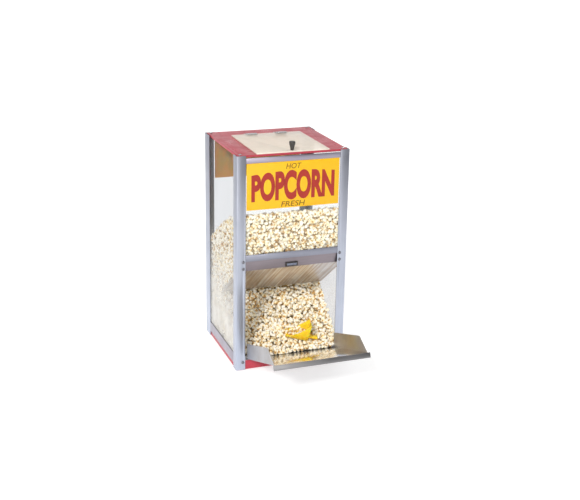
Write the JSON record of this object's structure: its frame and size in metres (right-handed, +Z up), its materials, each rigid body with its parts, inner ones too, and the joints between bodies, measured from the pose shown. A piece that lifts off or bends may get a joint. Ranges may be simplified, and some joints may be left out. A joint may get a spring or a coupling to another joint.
{
  "type": "popcorn warmer",
  "caption": "Countertop popcorn warmer: clear-walled cabinet on aluminium corner posts, red roof and base, lift-up fill lid, baffle and fold-up serving tray with a scoop.",
  "frame": {"origin": "middle of the whole object's footprint, tray included, at the height of the table it stands on", "axes": "+X to the right seen from the front, +Y to the back, the serving tray points to -Y, +Z up"},
  "size_m": [0.362, 0.6179, 0.7246],
  "materials": {
    "aluminium": "brushed, satin anodised",
    "red_paint": "gloss powder coat",
    "stainless": "bright brushed sheet",
    "clear_panel": "polished clear",
    "clear_lid": "polished clear",
    "sign_face": "satin print",
    "bright_steel": "zinc plated",
    "black_plastic": "moulded",
    "rubber": "matte",
    "scoop_plastic": "moulded, semi-gloss",
    "popcorn": "popped kernels",
    "heater_steel": "heat tinted"
  },
  "bodies": {
    "cabinet": {"baffle": "stainless", "base_pan": "red_paint", "bottom_cover": "aluminium", "catch_housing": "black_plastic", "catch_magnet": "bright_steel", "cord_inlet": "black_plastic", "crossbar": "aluminium", "foot_front_left": "rubber", "foot_front_right": "rubber", "foot_rear_left": "rubber", "foot_rear_right": "rubber", "heat_deck": "stainless", "heater_clip_left": "heater_steel", "heater_clip_right": "heater_steel", "heater_element": "heater_steel", "hinge_pin_1": "bright_steel", "hinge_pin_2": "bright_steel", "hinge_roof_leaf_1": "bright_steel", "hinge_roof_leaf_2": "bright_steel", "pane_front": "clear_panel", "pane_left": "clear_panel", "pane_rear": "clear_panel", "pane_right": "clear_panel", "popcorn_bulk": "popcorn", "popcorn_spill": "popcorn", "post_front_left": "aluminium", "post_front_right": "aluminium", "post_rear_left": "aluminium", "post_rear_right": "aluminium", "post_screw_left_1": "bright_steel", "post_screw_left_2": "bright_steel", "post_screw_left_3": "bright_steel", "post_screw_right_1": "bright_steel", "post_screw_right_2": "bright_steel", "post_screw_right_3": "bright_steel", "rail_header": "aluminium", "rail_lower_left": "aluminium", "rail_lower_rear": "aluminium", "rail_lower_right": "aluminium", "rail_upper_rear": "aluminium", "roof_pan": "red_paint", "roof_screw_front_left": "bright_steel", "roof_screw_front_right": "bright_steel", "roof_screw_rear_left": "bright_steel", "roof_screw_rear_right": "bright_steel", "sign_front": "sign_face", "sign_rear": "sign_face", "switch_frame": "black_plastic", "thermal_cutout": "bright_steel", "tray_bracket_left": "bright_steel", "tray_bracket_right": "bright_steel", "tray_rod": "bright_steel"},
    "lid": {"lid_panel": "clear_lid", "lid_knob": "black_plastic", "knob_screw": "bright_steel", "hinge_lid_leaf_1": "bright_steel", "hinge_lid_leaf_2": "bright_steel"},
    "tray": {"tray": "stainless"},
    "scoop": {"scoop": "scoop_plastic"},
    "rocker": {"switch_rocker": "black_plastic"}
  },
  "joints": [
    {"name": "lid_hinge", "type": "hinge", "parent": "cabinet", "child": "lid", "pos_m": [0, 0.23233, 0.6966], "axis": [-1, 0, 0], "range_deg": [0, 105]},
    {"name": "tray_fold", "type": "hinge", "parent": "cabinet", "child": "tray", "pos_m": [0, -0.03057, 0.0433], "axis": [-1, 0, 0], "range_deg": [0, 70], "deforming": ["popcorn_spill", "popcorn_bulk"]},
    {"name": "scoop_lift", "type": "slide", "parent": "cabinet", "child": "scoop", "axis": [0, 0, 1], "range_m": [0, 0.1]},
    {"name": "rocker_switch", "type": "hinge", "parent": "cabinet", "child": "rocker", "pos_m": [-0.1, 0.30393, 0.0195], "axis": [0, 0, 1], "range_deg": [-22, 0]}
  ]
}
